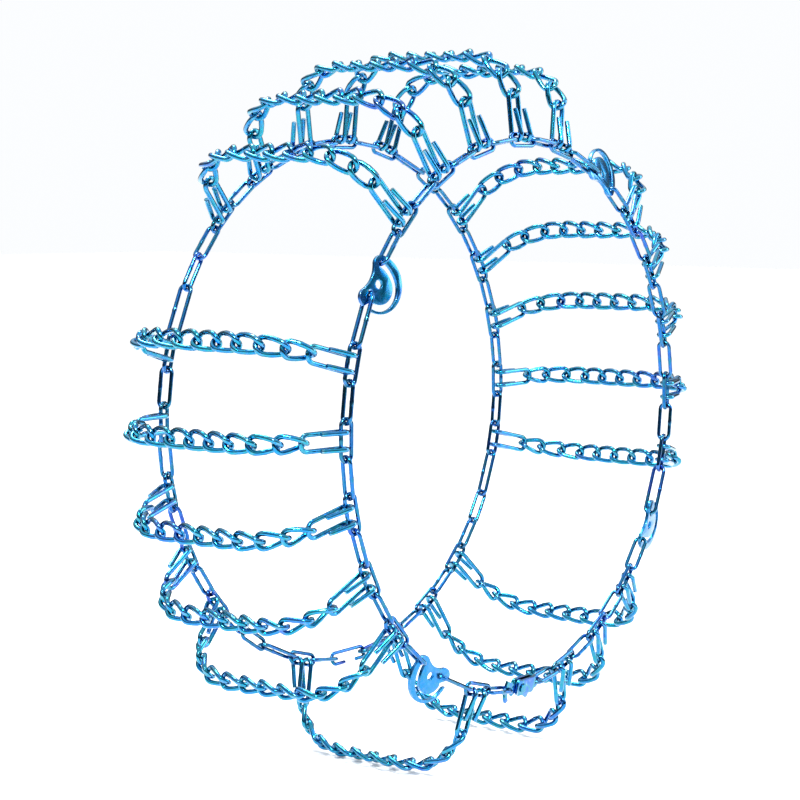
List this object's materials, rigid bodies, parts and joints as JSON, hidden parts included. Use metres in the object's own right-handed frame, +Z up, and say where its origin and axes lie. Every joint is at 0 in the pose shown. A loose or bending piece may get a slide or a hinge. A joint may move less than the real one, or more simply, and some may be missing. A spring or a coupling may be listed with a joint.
{
  "type": "tyre snow chain",
  "caption": "Ladder-pattern snow chain as fitted round a tyre: twisted cross chains hooked between two side-chain rings, with turning cams and a lever fastener",
  "frame": {"origin": "centre of the tyre that the chain is fitted to, on the wheel's axis and half way across the tread", "axes": "Y is the wheel's axis, -Y is the outer side with the cams and the fastener, +Y points to the vehicle; +Z is up, with the fastener near the bottom"},
  "size_m": [0.7193, 0.2405, 0.7089],
  "materials": {
    "plated_cross_chain": "bright blue plating over polished steel wire",
    "plated_hooks": "bright blue plating over polished steel wire",
    "plated_side_chain": "bright blue plating over welded steel wire",
    "plated_cams": "bright blue plating over stamped steel plate",
    "plated_fastener": "bright blue plating over forged steel",
    "plated_rivet": "bright blue plating over steel"
  },
  "bodies": {
    "side_chains": {"outer_side_chain_1": "plated_side_chain", "outer_side_chain_2": "plated_side_chain", "outer_side_chain_3": "plated_side_chain", "outer_side_chain_4": "plated_side_chain", "outer_side_chain_5": "plated_side_chain", "inner_side_chain": "plated_side_chain", "inner_closing_hook": "plated_side_chain", "fastener_fork": "plated_fastener", "fastener_pin": "plated_rivet"},
    "cross_chain_01_with_hooks": {"cross_chain_01": "plated_cross_chain", "end_hooks_01": "plated_hooks"},
    "cross_chain_02_with_hooks": {"cross_chain_02": "plated_cross_chain", "end_hooks_02": "plated_hooks"},
    "cross_chain_03_with_hooks": {"cross_chain_03": "plated_cross_chain", "end_hooks_03": "plated_hooks"},
    "cross_chain_04_with_hooks": {"cross_chain_04": "plated_cross_chain", "end_hooks_04": "plated_hooks"},
    "cross_chain_05_with_hooks": {"cross_chain_05": "plated_cross_chain", "end_hooks_05": "plated_hooks"},
    "cross_chain_06_with_hooks": {"cross_chain_06": "plated_cross_chain", "end_hooks_06": "plated_hooks"},
    "cross_chain_07_with_hooks": {"cross_chain_07": "plated_cross_chain", "end_hooks_07": "plated_hooks"},
    "cross_chain_08_with_hooks": {"cross_chain_08": "plated_cross_chain", "end_hooks_08": "plated_hooks"},
    "cross_chain_09_with_hooks": {"cross_chain_09": "plated_cross_chain", "end_hooks_09": "plated_hooks"},
    "cross_chain_10_with_hooks": {"cross_chain_10": "plated_cross_chain", "end_hooks_10": "plated_hooks"},
    "cross_chain_11_with_hooks": {"cross_chain_11": "plated_cross_chain", "end_hooks_11": "plated_hooks"},
    "cross_chain_12_with_hooks": {"cross_chain_12": "plated_cross_chain", "end_hooks_12": "plated_hooks"},
    "cross_chain_13_with_hooks": {"cross_chain_13": "plated_cross_chain", "end_hooks_13": "plated_hooks"},
    "cross_chain_14_with_hooks": {"cross_chain_14": "plated_cross_chain", "end_hooks_14": "plated_hooks"},
    "cross_chain_15_with_hooks": {"cross_chain_15": "plated_cross_chain", "end_hooks_15": "plated_hooks"},
    "cross_chain_16_with_hooks": {"cross_chain_16": "plated_cross_chain", "end_hooks_16": "plated_hooks"},
    "cross_chain_17_with_hooks": {"cross_chain_17": "plated_cross_chain", "end_hooks_17": "plated_hooks"},
    "cross_chain_18_with_hooks": {"cross_chain_18": "plated_cross_chain", "end_hooks_18": "plated_hooks"},
    "cross_chain_19_with_hooks": {"cross_chain_19": "plated_cross_chain", "end_hooks_19": "plated_hooks"},
    "cam_1": {"cam_1": "plated_cams"},
    "cam_2": {"cam_2": "plated_cams"},
    "cam_3": {"cam_3": "plated_cams"},
    "cam_4": {"cam_4": "plated_cams"},
    "fastener_lever": {"fastener_lever": "plated_fastener"}
  },
  "joints": [
    {"name": "cross_chain_01_swing", "type": "hinge", "parent": "side_chains", "child": "cross_chain_01_with_hooks", "pos_m": [-0.26685, 0, 0.06675], "axis": [0, 1, 0], "range_deg": [-6, 6]},
    {"name": "cross_chain_02_swing", "type": "hinge", "parent": "side_chains", "child": "cross_chain_02_with_hooks", "pos_m": [-0.27507, 0, -0.00157], "axis": [0, 1, 0], "range_deg": [-6, 6]},
    {"name": "cross_chain_03_swing", "type": "hinge", "parent": "side_chains", "child": "cross_chain_03_with_hooks", "pos_m": [-0.26607, 0, -0.0698], "axis": [0, 1, 0], "range_deg": [-6, 6]},
    {"name": "cross_chain_04_swing", "type": "hinge", "parent": "side_chains", "child": "cross_chain_04_with_hooks", "pos_m": [-0.24042, 0, -0.13366], "axis": [0, 1, 0], "range_deg": [-6, 6]},
    {"name": "cross_chain_05_swing", "type": "hinge", "parent": "side_chains", "child": "cross_chain_05_with_hooks", "pos_m": [-0.19972, 0, -0.18916], "axis": [0, 1, 0], "range_deg": [-6, 6]},
    {"name": "cross_chain_06_swing", "type": "hinge", "parent": "side_chains", "child": "cross_chain_06_with_hooks", "pos_m": [-0.07026, 0, -0.26595], "axis": [0, 1, 0], "range_deg": [-6, 6]},
    {"name": "cross_chain_07_swing", "type": "hinge", "parent": "side_chains", "child": "cross_chain_07_with_hooks", "pos_m": [0.08024, 0, -0.26311], "axis": [0, 1, 0], "range_deg": [-6, 6]},
    {"name": "cross_chain_08_swing", "type": "hinge", "parent": "side_chains", "child": "cross_chain_08_with_hooks", "pos_m": [0.14304, 0, -0.23496], "axis": [0, 1, 0], "range_deg": [-6, 6]},
    {"name": "cross_chain_09_swing", "type": "hinge", "parent": "side_chains", "child": "cross_chain_09_with_hooks", "pos_m": [0.19688, 0, -0.1921], "axis": [0, 1, 0], "range_deg": [-6, 6]},
    {"name": "cross_chain_10_swing", "type": "hinge", "parent": "side_chains", "child": "cross_chain_10_with_hooks", "pos_m": [0.26852, 0, -0.05971], "axis": [0, 1, 0], "range_deg": [-6, 6]},
    {"name": "cross_chain_11_swing", "type": "hinge", "parent": "side_chains", "child": "cross_chain_11_with_hooks", "pos_m": [0.27493, 0, 0.00881], "axis": [0, 1, 0], "range_deg": [-6, 6]},
    {"name": "cross_chain_12_swing", "type": "hinge", "parent": "side_chains", "child": "cross_chain_12_with_hooks", "pos_m": [0.26414, 0, 0.07677], "axis": [0, 1, 0], "range_deg": [-6, 6]},
    {"name": "cross_chain_13_swing", "type": "hinge", "parent": "side_chains", "child": "cross_chain_13_with_hooks", "pos_m": [0.23682, 0, 0.13994], "axis": [0, 1, 0], "range_deg": [-6, 6]},
    {"name": "cross_chain_14_swing", "type": "hinge", "parent": "side_chains", "child": "cross_chain_14_with_hooks", "pos_m": [0.19467, 0, 0.19434], "axis": [0, 1, 0], "range_deg": [-6, 6]},
    {"name": "cross_chain_15_swing", "type": "hinge", "parent": "side_chains", "child": "cross_chain_15_with_hooks", "pos_m": [0.06324, 0, 0.26771], "axis": [0, 1, 0], "range_deg": [-6, 6]},
    {"name": "cross_chain_16_swing", "type": "hinge", "parent": "side_chains", "child": "cross_chain_16_with_hooks", "pos_m": [-0.00519, 0, 0.27503], "axis": [0, 1, 0], "range_deg": [-6, 6]},
    {"name": "cross_chain_17_swing", "type": "hinge", "parent": "side_chains", "child": "cross_chain_17_with_hooks", "pos_m": [-0.07329, 0, 0.26513], "axis": [0, 1, 0], "range_deg": [-6, 6]},
    {"name": "cross_chain_18_swing", "type": "hinge", "parent": "side_chains", "child": "cross_chain_18_with_hooks", "pos_m": [-0.13681, 0, 0.23864], "axis": [0, 1, 0], "range_deg": [-6, 6]},
    {"name": "cross_chain_19_swing", "type": "hinge", "parent": "side_chains", "child": "cross_chain_19_with_hooks", "pos_m": [-0.19176, 0, 0.19721], "axis": [0, 1, 0], "range_deg": [-6, 6]},
    {"name": "cam_1_turn", "type": "hinge", "parent": "side_chains", "child": "cam_1", "pos_m": [-0.23789, -0.112, 0.12815], "axis": [-0.1895, -0.975, 0.1163], "range_deg": [0, 35]},
    {"name": "cam_2_turn", "type": "hinge", "parent": "side_chains", "child": "cam_2", "pos_m": [0.12501, -0.112, 0.23955], "axis": [-0.1138, 0.975, -0.191], "range_deg": [0, 35]},
    {"name": "cam_3_turn", "type": "hinge", "parent": "side_chains", "child": "cam_3", "pos_m": [0.24117, -0.112, -0.12185], "axis": [-0.1925, 0.975, 0.1113], "range_deg": [0, 35]},
    {"name": "cam_4_turn", "type": "hinge", "parent": "side_chains", "child": "cam_4", "pos_m": [-0.13127, -0.112, -0.23618], "axis": [0.1188, 0.975, 0.1879], "range_deg": [0, 35]},
    {"name": "fastener_lever_turn", "type": "hinge", "parent": "side_chains", "child": "fastener_lever", "pos_m": [0.00108, -0.112, -0.2693], "axis": [-0.0042, 0.975, 0.2223], "range_deg": [0, 110]}
  ]
}
